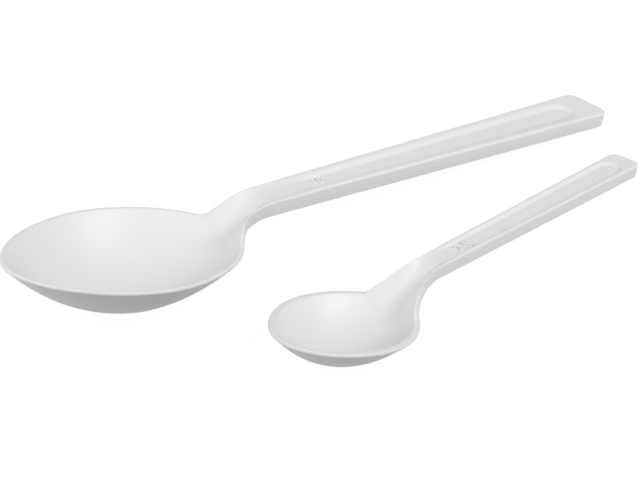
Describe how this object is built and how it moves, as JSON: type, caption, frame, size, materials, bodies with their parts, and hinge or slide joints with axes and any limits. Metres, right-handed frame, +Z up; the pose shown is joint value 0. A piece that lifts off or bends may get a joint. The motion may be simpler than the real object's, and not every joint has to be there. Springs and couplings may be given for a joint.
{
  "type": "sampling spoon set",
  "caption": "White moulded sampling spoons, a large and a small one, each with an oval bowl, a flat rim, a raised channelled neck and a widening handle with a sunk panel.",
  "frame": {"origin": "centre of the pair's box, on the table it lies on", "axes": "+X along the large spoon from bowl to handle end, +Y away from the small spoon, +Z up"},
  "size_m": [0.1738, 0.0776, 0.0203],
  "materials": {
    "large_spoon": "satin white moulded polystyrene",
    "small_spoon": "satin white moulded polystyrene"
  },
  "bodies": {
    "large_spoon": {"large_spoon": "large_spoon"},
    "small_spoon": {"small_spoon": "small_spoon"}
  },
  "joints": [
    {"name": "small_spoon_lift", "type": "slide", "parent": "large_spoon", "child": "small_spoon", "axis": [0, 0, 1], "range_m": [0, 0.08]}
  ]
}
